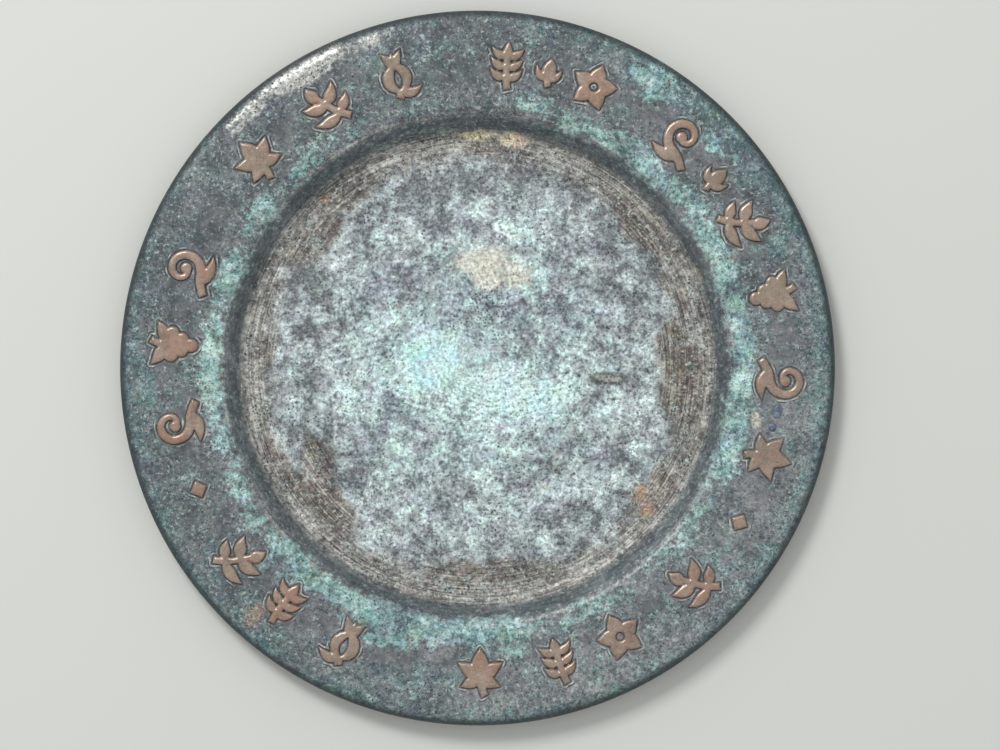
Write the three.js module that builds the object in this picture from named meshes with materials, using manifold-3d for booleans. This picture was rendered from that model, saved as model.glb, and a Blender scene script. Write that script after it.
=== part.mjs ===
// A havdalah plate: one dish spun from copper sheet, with a broad flat rim, a shallow round well and
// a turned-down lip, and a ring of ornaments cut from copper sheet and soft-soldered to the rim.
// Millimetres, +Z up. The origin is on the table, under the middle of the well.

import * as THREE from "three";
import { mergeVertices } from "three/addons/utils/BufferGeometryUtils.js";
import Module from "manifold-3d";

const wasm = await Module();
wasm.setup();

// Driving dimensions of the dish
const SHEET = 1.5; // thickness of the dish's copper
const WELL_DIAMETER = 190; // where the middle lines of floor and wall meet
const WELL_DEPTH = 12; // from the rim's top down to the top of the standing ring
const WALL_RUN = 6.5; // how far the wall leans out on its way up
const RIM_WIDTH = 41.5; // from where the middle lines of wall and rim meet to the dish's edge
const COVE_RADIUS = 6; // middle line, floor to wall
const SHOULDER_RADIUS = 6; // middle line, wall to rim
const LIP_RADIUS = 5.25; // middle line, rim to lip
const LIP_STRAIGHT = 1; // the lip's straight edge below that bend
const STANDING_RING_WIDTH = 7.4; // the flat ring that the dish stands on
const BASE_RISE = 0.6; // how far the floor is drawn up inside that ring
const BASE_RISE_RUN = 22; // the gentle ramp up to it
const BASE_BEND_RADIUS = 20; // middle line, both ends of that ramp

// Driving dimensions of the ornaments
const ORNAMENT_SHEET = 1.2; // thickness of the copper that they are cut from
const ORNAMENT_MARGIN = 6.4; // bare rim on either side of them
const NARROWEST_ORNAMENT = 8; // what a jeweller's saw still cuts
const BUD_HEIGHT = 11.8;
const LOZENGE_SIDE = 5.2;

// How finely round shapes are drawn
const TURN_STEPS = 72;
const BEND_STEP = THREE.MathUtils.degToRad(18);
const LEAF_STEPS = 8;
const STEM_STEPS = 4;
const SCROLL_STEPS = 22;
const BERRY_STEPS = 16;

const PATINATED_COPPER = { color: 0x6f8a88, roughness: 0.62, metalness: 0.35 };
const RUBBED_COPPER = { color: 0x9e887a, roughness: 0.45, metalness: 0.5 };

// Sizes that follow from those
const rimTop = SHEET + WELL_DEPTH;
const rimMiddle = rimTop - SHEET / 2;
const floorMiddle = SHEET / 2;
const wellRadius = WELL_DIAMETER / 2;
const shoulderCorner = wellRadius + WALL_RUN;
const plateRadius = shoulderCorner + RIM_WIDTH;
const lipMiddle = plateRadius - SHEET / 2;
const wallLean = Math.atan2(rimMiddle - floorMiddle, WALL_RUN);
const ringOuter = wellRadius - COVE_RADIUS * Math.tan(wallLean / 2);
const ringInner = ringOuter - STANDING_RING_WIDTH;
const rimInner = shoulderCorner + SHOULDER_RADIUS * Math.tan(wallLean / 2);
const rimOuter = lipMiddle - LIP_RADIUS;
const ornamentRadius = (rimInner + rimOuter) / 2;
const ornamentHeight = Math.max(rimOuter - rimInner - 2 * ORNAMENT_MARGIN, NARROWEST_ORNAMENT);

const heading = (from, to) => to.at.clone().sub(from.at).normalize();
const leftOf = (direction) => new THREE.Vector2(-direction.y, direction.x);

// One face of a bent sheet, half a sheet to the left of its middle line, or to the right if side is -1.
// Each corner of the middle line has its bend radius, and its two ends have none.
function sheetFace(middleLine, side) {
  const offset = (side * SHEET) / 2;
  return middleLine.flatMap((corner, i) => {
    const before = middleLine[i - 1];
    const after = middleLine[i + 1];
    if (!before || !after) {
      const along = before ? heading(before, corner) : heading(corner, after);
      return [corner.at.clone().addScaledVector(leftOf(along), offset)];
    }
    const arriving = heading(before, corner);
    const leaving = heading(corner, after);
    const turn = Math.atan2(arriving.cross(leaving), arriving.dot(leaving));
    const reach = corner.bend * Math.tan(Math.abs(turn) / 2);
    const bendStart = corner.at.clone().addScaledVector(arriving, -reach);
    const centre = bendStart.clone().addScaledVector(leftOf(arriving), Math.sign(turn) * corner.bend);
    const first = bendStart.clone().addScaledVector(leftOf(arriving), offset);
    const steps = Math.max(1, Math.ceil(Math.abs(turn) / BEND_STEP));
    const bent = (_, step) => first.clone().rotateAround(centre, (turn * step) / steps);
    return Array.from({ length: steps + 1 }, bent);
  });
}

function plateGeometry() {
  const corner = (r, z, bend) => ({ at: new THREE.Vector2(r, z), bend });
  const middleLine = [
    corner(0, floorMiddle + BASE_RISE),
    corner(ringInner - BASE_RISE_RUN, floorMiddle + BASE_RISE, BASE_BEND_RADIUS),
    corner(ringInner, floorMiddle, BASE_BEND_RADIUS),
    corner(wellRadius, floorMiddle, COVE_RADIUS),
    corner(shoulderCorner, rimMiddle, SHOULDER_RADIUS),
    corner(lipMiddle, rimMiddle, LIP_RADIUS),
    corner(lipMiddle, rimMiddle - LIP_RADIUS - LIP_STRAIGHT),
  ];
  const profile = [...sheetFace(middleLine, -1), ...sheetFace(middleLine, 1).reverse()];
  return new THREE.LatheGeometry(profile, TURN_STEPS).rotateX(Math.PI / 2);
}

// Flat shapes that the ornaments are sawn to. Each is drawn on a field one unit high, its foot at
// y = -0.5 and its tip at y = 0.5, and grows to the ornament's real height.

const point = (x, y) => new THREE.Vector2(x, y);
const bow = (...corners) => new THREE.QuadraticBezierCurve(...corners.map((corner) => point(...corner)));

// A closed outline round a spine, as wide at each place as widthAt says. An end with no width is a point.
function outline(spine, widthAt, steps) {
  const left = [];
  const right = [];
  for (let i = 0; i <= steps; i++) {
    const t = i / steps;
    const at = spine.getPoint(t);
    const along = spine.getTangent(t);
    const half = widthAt(t) / 2;
    left.push(point(at.x - along.y * half, at.y + along.x * half));
    if (half > 1e-6) right.unshift(point(at.x + along.y * half, at.y - along.x * half));
  }
  return [...right, ...left];
}

// A leaf swells soon after its foot and runs out to a point.
const leaf = (spine, width) => outline(spine, (t) => width * Math.sin(Math.PI * t ** 0.8), LEAF_STEPS);
const stem = (spine, from, to) => outline(spine, (t) => from + (to - from) * t, STEM_STEPS);

function disc(x, y, radius) {
  return Array.from({ length: BERRY_STEPS }, (_, i) => {
    const angle = (2 * Math.PI * i) / BERRY_STEPS;
    return point(x + radius * Math.cos(angle), y + radius * Math.sin(angle));
  });
}

function vineLeaf() {
  const heart = [0, -0.12];
  const lobe = (x, y, width) => leaf(bow(heart, [x * 0.4, (y + heart[1]) / 2], [x, y]), width);
  return {
    marks: [
      stem(bow([0.1, -0.5], [0.02, -0.34], heart), 0.16, 0.16),
      lobe(0, 0.5, 0.37),
      lobe(0.47, 0.2, 0.31),
      lobe(-0.47, 0.2, 0.31),
      lobe(0.42, -0.31, 0.27),
      lobe(-0.42, -0.31, 0.27),
    ],
  };
}

function oliveSprig() {
  return {
    marks: [
      stem(bow([-0.36, -0.46], [-0.06, -0.2], [0.1, 0.2]), 0.16, 0.13),
      leaf(bow([0.08, 0.1], [0.2, 0.3], [0.2, 0.5]), 0.27),
      leaf(bow([0.0, 0.0], [-0.22, 0.08], [-0.34, 0.38]), 0.27),
      leaf(bow([-0.02, -0.06], [0.26, -0.04], [0.5, 0.12]), 0.26),
      leaf(bow([-0.18, -0.24], [-0.38, -0.18], [-0.5, 0.04]), 0.24),
      leaf(bow([-0.2, -0.3], [0.12, -0.42], [0.42, -0.3]), 0.25),
    ],
  };
}

function pomegranate() {
  const top = 0.12;
  return {
    marks: [
      disc(0, -0.08, 0.31),
      leaf(bow([0, top], [-0.04, 0.3], [-0.22, 0.5]), 0.22),
      leaf(bow([0, top], [0, 0.3], [0, 0.48]), 0.18),
      leaf(bow([0, top], [0.04, 0.3], [0.22, 0.5]), 0.22),
      stem(bow([0, -0.34], [0, -0.42], [-0.05, -0.5]), 0.17, 0.17),
      leaf(bow([0, -0.38], [0.22, -0.5], [0.48, -0.32]), 0.22),
    ],
    cuts: [leaf(bow([0, -0.3], [0.03, -0.08], [0, 0.12]), 0.16)],
  };
}

function grapeBunch() {
  const berry = 0.145;
  const pitch = 0.2;
  const shoulders = 0.05;
  const marks = [
    stem(bow([0, shoulders], [0.03, 0.3], [-0.06, 0.5]), 0.15, 0.16),
    leaf(bow([0, 0.2], [0.24, 0.24], [0.46, 0.46]), 0.28),
    leaf(bow([0.02, 0.18], [-0.26, 0.2], [-0.46, 0.38]), 0.26),
  ];
  [3, 2, 1].forEach((count, row) => {
    for (let i = 0; i < count; i++) {
      marks.push(disc((i - (count - 1) / 2) * pitch * 1.15, shoulders - row * pitch, berry));
    }
  });
  return { marks };
}

// A scroll that curls in from a leafy foot to a berry.
class Scroll extends THREE.Curve {
  getPoint(t, target = new THREE.Vector2()) {
    const angle = -1.5 + 6.1 * t;
    const radius = 0.38 * (1 - t) + 0.11 * t;
    return target.set(0.01 + radius * Math.cos(angle), 0.13 + radius * Math.sin(angle));
  }
}

function tendril() {
  const scroll = new Scroll();
  const foot = scroll.getPoint(0);
  return {
    marks: [
      outline(scroll, (t) => 0.21 - 0.09 * t, SCROLL_STEPS),
      stem(bow([-0.4, -0.44], [-0.14, -0.24], [foot.x + 0.02, foot.y]), 0.17, 0.21),
      leaf(bow([-0.2, -0.3], [0.12, -0.48], [0.46, -0.38]), 0.24),
      disc(0.05, 0.08, 0.12),
    ],
  };
}

function blossom() {
  const petals = 5;
  const marks = [disc(0, 0, 0.24)];
  for (let i = 0; i < petals; i++) {
    const angle = Math.PI / 2 + (2 * Math.PI * i) / petals;
    const reach = (r) => [r * Math.cos(angle), r * Math.sin(angle)];
    marks.push(leaf(bow(reach(0.06), reach(0.25), reach(0.5)), 0.35));
  }
  return { marks, cuts: [disc(0, 0, 0.09)] };
}

function wheatEar() {
  const marks = [
    stem(bow([0.06, -0.5], [0, -0.3], [0, 0.2]), 0.15, 0.15),
    leaf(bow([0, 0.1], [0, 0.3], [0, 0.5]), 0.22),
  ];
  [-0.26, -0.04, 0.18].forEach((height) => {
    for (const side of [-1, 1]) {
      marks.push(leaf(bow([0, height], [side * 0.2, height - 0.02], [side * 0.34, height + 0.2]), 0.19));
    }
  });
  return { marks };
}

function bud() {
  return {
    marks: [
      leaf(bow([0, -0.24], [0.02, 0.15], [0, 0.5]), 0.5),
      leaf(bow([0, -0.26], [0.34, -0.22], [0.44, 0.2]), 0.27),
      leaf(bow([0, -0.26], [-0.34, -0.22], [-0.44, 0.2]), 0.27),
      stem(bow([0.1, -0.5], [0.02, -0.36], [0, -0.1]), 0.22, 0.25),
    ],
  };
}

function lozenge() {
  const reach = 0.5;
  return { marks: [[point(reach, 0), point(0, reach), point(-reach, 0), point(0, -reach)]] };
}

// Where each ornament stands: its angle round the rim from +X, and whether it is mirrored. Those of the
// upper arc grow outwards, and those of the lower arc, between the two lozenges, grow inwards.
const UPPER_ARC = [
  { name: "vine_leaf_1", draw: vineLeaf, angle: -17 },
  { name: "tendril_1", draw: tendril, angle: -2 },
  { name: "grape_bunch_1", draw: grapeBunch, angle: 14 },
  { name: "olive_sprig_1", draw: oliveSprig, angle: 28.5 },
  { name: "bud_1", draw: bud, angle: 38.5, height: BUD_HEIGHT },
  { name: "tendril_2", draw: tendril, angle: 48, mirrored: true },
  { name: "blossom_1", draw: blossom, angle: 67.5 },
  { name: "bud_2", draw: bud, angle: 76.5, height: BUD_HEIGHT },
  { name: "wheat_ear_1", draw: wheatEar, angle: 84.5 },
  { name: "pomegranate_1", draw: pomegranate, angle: 105.5 },
  { name: "olive_sprig_2", draw: oliveSprig, angle: 120, mirrored: true },
  { name: "vine_leaf_2", draw: vineLeaf, angle: 136.5, mirrored: true },
  { name: "tendril_3", draw: tendril, angle: 161.5 },
  { name: "grape_bunch_2", draw: grapeBunch, angle: 175.5, mirrored: true },
  { name: "tendril_4", draw: tendril, angle: 190.5, mirrored: true },
];
const LOWER_ARC = [
  { name: "olive_sprig_3", draw: oliveSprig, angle: 219 },
  { name: "wheat_ear_2", draw: wheatEar, angle: 230.5 },
  { name: "pomegranate_2", draw: pomegranate, angle: 244.5, mirrored: true },
  { name: "vine_leaf_3", draw: vineLeaf, angle: 270.5 },
  { name: "wheat_ear_3", draw: wheatEar, angle: 285.5 },
  { name: "blossom_2", draw: blossom, angle: 298 },
  { name: "olive_sprig_4", draw: oliveSprig, angle: 315, mirrored: true },
];
const LOZENGES = [
  { name: "lozenge_1", draw: lozenge, angle: -30.5, height: LOZENGE_SIDE * Math.SQRT2 },
  { name: "lozenge_2", draw: lozenge, angle: 203.5, height: LOZENGE_SIDE * Math.SQRT2 },
];

// A closed, unindexed mesh as a solid that can be joined and cut.
function solidOf(geometry) {
  const bare = new THREE.BufferGeometry().setAttribute("position", geometry.getAttribute("position"));
  const merged = mergeVertices(bare);
  const vertProperties = merged.getAttribute("position").array;
  const triVerts = new Uint32Array(merged.index.array);
  return new wasm.Manifold(new wasm.Mesh({ numProp: 3, vertProperties, triVerts }));
}

function geometryOf(solid) {
  const mesh = solid.getMesh();
  const geometry = new THREE.BufferGeometry();
  geometry.setAttribute("position", new THREE.BufferAttribute(mesh.vertProperties, 3));
  geometry.setIndex(new THREE.BufferAttribute(mesh.triVerts, 1));
  return geometry;
}

// Flat marks grown to their real size and thickness, and joined into one solid.
function joined(marks, height, mirrored, bottom, top) {
  const across = mirrored ? -height : height;
  return marks
    .map((mark) => {
      const shape = new THREE.Shape(mark.map((p) => point(p.x * across, p.y * height)));
      const slab = new THREE.ExtrudeGeometry(shape, { depth: top - bottom, bevelEnabled: false });
      return solidOf(slab.translate(0, 0, bottom));
    })
    .reduce((whole, piece) => whole.add(piece));
}

// One ornament, sawn out of its sheet and standing on z = 0. A cut runs out past both faces.
function ornamentGeometry({ draw, height = ornamentHeight, mirrored = false }) {
  const { marks, cuts } = draw();
  const blank = joined(marks, height, mirrored, 0, ORNAMENT_SHEET);
  if (!cuts) return geometryOf(blank);
  return geometryOf(blank.subtract(joined(cuts, height, mirrored, -ORNAMENT_SHEET, 2 * ORNAMENT_SHEET)));
}

function ornamentMesh(ornament, growsInwards) {
  const mesh = new THREE.Mesh(ornamentGeometry(ornament), new THREE.MeshStandardMaterial(RUBBED_COPPER));
  const angle = THREE.MathUtils.degToRad(ornament.angle);
  mesh.name = ornament.name;
  mesh.position.set(ornamentRadius * Math.cos(angle), ornamentRadius * Math.sin(angle), rimTop);
  mesh.rotation.z = angle + (growsInwards ? Math.PI / 2 : -Math.PI / 2);
  return mesh;
}

const plate = new THREE.Mesh(plateGeometry(), new THREE.MeshStandardMaterial(PATINATED_COPPER));
plate.name = "plate";

const havdalahPlate = new THREE.Group();
havdalahPlate.add(plate);
for (const ornament of [...UPPER_ARC, ...LOZENGES]) {
  havdalahPlate.add(ornamentMesh(ornament, false));
}
for (const ornament of LOWER_ARC) {
  havdalahPlate.add(ornamentMesh(ornament, true));
}

export default havdalahPlate;
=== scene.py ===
"""A havdalah plate of patinated copper: a spun dish with a ring of ornaments soldered to its rim.

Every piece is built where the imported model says, in metres, +Z up, with the middle of the dish on the
Z axis. The materials measure themselves in millimetres from the same origin.
"""

import math

import bmesh
import bpy
from bpy.props import FloatProperty, FloatVectorProperty, IntProperty, PointerProperty
from mathutils import Matrix, Vector, noise
from mathutils.bvhtree import BVHTree


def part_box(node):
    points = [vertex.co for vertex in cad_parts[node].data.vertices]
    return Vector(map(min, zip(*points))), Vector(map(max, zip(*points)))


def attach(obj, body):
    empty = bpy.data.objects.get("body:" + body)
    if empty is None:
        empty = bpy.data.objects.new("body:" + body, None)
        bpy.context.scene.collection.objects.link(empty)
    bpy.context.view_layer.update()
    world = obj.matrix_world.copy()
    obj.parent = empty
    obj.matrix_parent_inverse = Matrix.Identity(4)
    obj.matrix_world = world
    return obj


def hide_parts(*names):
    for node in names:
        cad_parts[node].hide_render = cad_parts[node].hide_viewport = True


bl_info = {
    "name": "Havdalah plate",
    "version": (1, 0, 0),
    "blender": (4, 5, 0),
    "location": "View3D > Sidebar > Plate",
    "description": "Builds a patinated copper plate with ornaments soldered to its rim",
    "category": "Add Mesh",
}

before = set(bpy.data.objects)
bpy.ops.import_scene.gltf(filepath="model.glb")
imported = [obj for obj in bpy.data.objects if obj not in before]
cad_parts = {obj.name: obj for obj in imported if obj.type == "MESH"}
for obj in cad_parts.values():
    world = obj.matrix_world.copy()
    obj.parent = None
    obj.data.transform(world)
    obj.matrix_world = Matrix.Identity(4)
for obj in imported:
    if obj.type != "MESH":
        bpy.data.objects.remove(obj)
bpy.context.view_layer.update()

MM = 0.001
PLATE_LOW, PLATE_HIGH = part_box("plate")
PLATE_RADIUS = PLATE_HIGH.x
RIM_TOP = PLATE_HIGH.z
ORNAMENTS = sorted(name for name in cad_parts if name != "plate")
ORNAMENT_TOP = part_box(ORNAMENTS[0])[1].z


def linear(code):
    """An sRGB hex colour as the linear red, green and blue that shaders work in."""
    parts = [int(code[i : i + 2], 16) / 255 for i in (1, 3, 5)]
    return tuple(p / 12.92 if p <= 0.04045 else ((p + 0.055) / 1.055) ** 2.4 for p in parts)


def solid(code):
    """The same with full opacity, for a socket."""
    return (*linear(code), 1.0)


class DishSizes(bpy.types.PropertyGroup):
    """Sizes of the dish, beyond its outer radius and height, which the frame gives."""

    sheet: FloatProperty(
        name="Sheet", description="Thickness of the copper", default=1.5 * MM, unit="LENGTH"
    )
    well: FloatProperty(
        name="Well", description="Radius where floor and wall meet", default=95 * MM, unit="LENGTH"
    )
    wall_run: FloatProperty(
        name="Wall run", description="How far the wall leans out", default=6.5 * MM, unit="LENGTH"
    )
    bend: FloatProperty(
        name="Wall bends", description="Radius of cove and shoulder", default=6 * MM, unit="LENGTH"
    )
    lip_bend: FloatProperty(
        name="Lip bend", description="Radius from rim to lip", default=5.25 * MM, unit="LENGTH"
    )
    lip_straight: FloatProperty(
        name="Lip edge", description="Straight lip below its bend", default=1 * MM, unit="LENGTH"
    )
    standing_ring: FloatProperty(
        name="Standing ring",
        description="Width of the flat that it stands on",
        default=7.4 * MM,
        unit="LENGTH",
    )
    base_rise: FloatProperty(
        name="Floor rise", description="How far the floor is drawn up", default=0.6 * MM, unit="LENGTH"
    )
    base_ramp: FloatProperty(
        name="Floor ramp", description="Length of the ramp to it", default=22 * MM, unit="LENGTH"
    )
    base_bend: FloatProperty(
        name="Ramp bends", description="Bend at the ramp's ends", default=20 * MM, unit="LENGTH"
    )
    wave: FloatProperty(
        name="Waviness",
        description="How far hand work leaves the rim uneven",
        default=0.12 * MM,
        unit="LENGTH",
    )
    steps: IntProperty(name="Turn steps", description="Facets round the dish", default=360, min=48)


class OrnamentSizes(bpy.types.PropertyGroup):
    """How the ornaments are worn, and the solder that holds them."""

    voxel: FloatProperty(
        name="Grain of the surface",
        description="Size of the remeshed faces",
        default=0.24 * MM,
        unit="LENGTH",
    )
    wobble: FloatProperty(
        name="Saw wobble", description="How far the sawn edge strays", default=0.16 * MM, unit="LENGTH"
    )
    bevel: FloatProperty(
        name="Bevel", description="Width of the worn slope at an edge", default=1.3 * MM, unit="LENGTH"
    )
    bevel_drop: FloatProperty(
        name="Bevel drop",
        description="How much lower the edge is, as a share",
        default=0.5,
        min=0,
        max=0.8,
    )
    ridge: FloatProperty(
        name="Solder ridge", description="Height of the solder's ridge", default=0.3 * MM, unit="LENGTH"
    )
    margin: FloatProperty(
        name="Solder margin",
        description="How far a bed of solder spreads",
        default=2.9 * MM,
        unit="LENGTH",
    )
    pitch: FloatProperty(
        name="Solder mesh", description="Spacing of the bed's mesh", default=0.24 * MM, unit="LENGTH"
    )


class StageSizes(bpy.types.PropertyGroup):
    """The camera and the lamp."""

    eye: FloatVectorProperty(
        name="Camera",
        description="Place of the camera, square to the plate's face",
        default=(0.009, -0.0028, 1.2135),
        unit="LENGTH",
    )
    lens: FloatProperty(name="Lens", description="Focal length in millimetres", default=108.5)
    lamp_bearing: FloatProperty(
        name="Lamp bearing",
        description="Direction to the lamp from +X",
        default=math.radians(122),
        unit="ROTATION",
    )
    lamp_lean: FloatProperty(
        name="Lamp lean",
        description="Lamp's angle off the vertical",
        default=math.radians(42),
        unit="ROTATION",
    )
    lamp_distance: FloatProperty(
        name="Lamp distance", description="From the plate to the lamp", default=2.0, unit="LENGTH"
    )
    lamp_size: FloatProperty(
        name="Lamp size", description="Side of the lamp", default=0.55, unit="LENGTH"
    )
    key_share: FloatProperty(
        name="Lamp's share", description="Share of the floor's light that the lamp gives", default=0.4
    )
    floor_colour: FloatVectorProperty(
        name="Floor", description="Colour of the floor", default=linear("#d6d8d3"), subtype="COLOR"
    )


class PlateSettings(bpy.types.PropertyGroup):
    """All settings of the plate."""

    dish: PointerProperty(type=DishSizes)
    ornaments: PointerProperty(type=OrnamentSizes)
    stage: PointerProperty(type=StageSizes)


# Settings of a Map Range that makes a mask. A smooth step ends at its limits by itself, without a clamp.
SMOOTH = {"interpolation_type": "SMOOTHSTEP", "clamp": False}


def add(tree, kind, inputs=(), stops=(), **settings):
    """Adds a node with its settings and a ramp's stops. An input takes a value, a socket or a node."""
    node = tree.nodes.new(kind)
    for name, value in settings.items():
        setattr(node, name, value)
    for i, (at, colour) in enumerate(stops):
        ramp = node.color_ramp.elements
        stop = ramp[i] if i < 2 else ramp.new(at)
        stop.position = at
        stop.color = solid(colour) if isinstance(colour, str) else (colour, colour, colour, 1.0)
    for key, value in dict(inputs).items():
        named = [s for s in node.inputs if s.enabled and s.name == key]
        socket = node.inputs[key] if isinstance(key, int) else named[0]
        if isinstance(value, bpy.types.Node):
            value = next(s for s in value.outputs if s.enabled)
        if isinstance(value, bpy.types.NodeSocket):
            tree.links.new(value, socket)
        else:
            socket.default_value = value
    return node


def new_material(name):
    """An empty material, with its node tree and a node that gives the place in millimetres."""
    material = bpy.data.materials.new(name)
    material.use_nodes = True
    tree = material.node_tree
    tree.nodes.clear()
    metres = add(tree, "ShaderNodeTexCoord").outputs["Object"]
    place = add(tree, "ShaderNodeVectorMath", {0: metres, "Scale": 1 / MM}, operation="SCALE")
    return material, tree, place


def octaves(tree, place, layers):
    """A level of about 0 to 1, the sum of noises. A layer has its size in mm, its detail and its weight."""
    level = 0.5 - sum(weight for _, _, weight in layers) / 2
    for wavelength, detail, weight in layers:
        cloud = add(
            tree,
            "ShaderNodeTexNoise",
            {"Vector": place, "Scale": 1 / wavelength, "Detail": detail, "Roughness": 0.6},
        )
        level = add(tree, "ShaderNodeMath", {0: cloud, 1: weight, 2: level}, operation="MULTIPLY_ADD")
    return level


# A soft oval reaches this much past its size, is full above this level, and takes in every height
SPOT_SPREAD = 1.15
SPOT_CORE = 0.74
SPOT_HEIGHT = 1000


def spots(tree, place, patches):
    """The strongest of several soft ovals: middle x and y, half length and width, turn and strength."""
    strongest = 0.0
    for x, y, length, width, turn, strength in patches:
        local = add(
            tree,
            "ShaderNodeMapping",
            {
                "Vector": place,
                "Location": (x, y, 0),
                "Rotation": (0, 0, math.radians(turn)),
                "Scale": (SPOT_SPREAD * length, SPOT_SPREAD * width, SPOT_HEIGHT),
            },
            vector_type="TEXTURE",
        )
        ball = add(tree, "ShaderNodeTexGradient", {"Vector": local}, gradient_type="SPHERICAL")
        oval = add(
            tree,
            "ShaderNodeMapRange",
            {"Value": ball.outputs["Fac"], "From Min": 0.0, "From Max": SPOT_CORE, "To Max": strength},
            **SMOOTH,
        )
        strongest = add(tree, "ShaderNodeMath", {0: oval, 1: strongest}, operation="MAXIMUM")
    return strongest


def broken(tree, mask, level, bite, edge=0.18, strength=1.0):
    """A mask eaten into by a noise, as a crust flakes: its strength inside, 0 outside, ragged between."""
    eaten = add(tree, "ShaderNodeMath", {0: level, 1: bite, 2: mask}, operation="MULTIPLY_ADD")
    half = (1 + bite) / 2
    return add(
        tree,
        "ShaderNodeMapRange",
        {"Value": eaten, "From Min": half - edge, "From Max": half + edge, "To Max": strength},
        **SMOOTH,
    )


def band(tree, radius, middle, half, soft, strength=1.0):
    """A mask on a ring of the dish round a middle radius, fading to 0 past its half width, all in mm."""
    away = add(tree, "ShaderNodeMath", {0: radius, 1: middle}, operation="SUBTRACT")
    off = add(tree, "ShaderNodeMath", {0: away}, operation="ABSOLUTE")
    return add(
        tree,
        "ShaderNodeMapRange",
        {"Value": off, "From Min": half - soft, "From Max": half + soft, "To Min": strength, "To Max": 0.0},
        **SMOOTH,
    )


def layered(tree, colour, layers):
    """A colour with others laid over it, each through its mask."""
    for top, mask in layers:
        colour = add(tree, "ShaderNodeMix", {"Factor": mask, "A": colour, "B": top}, data_type="RGBA")
    return colour


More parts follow.
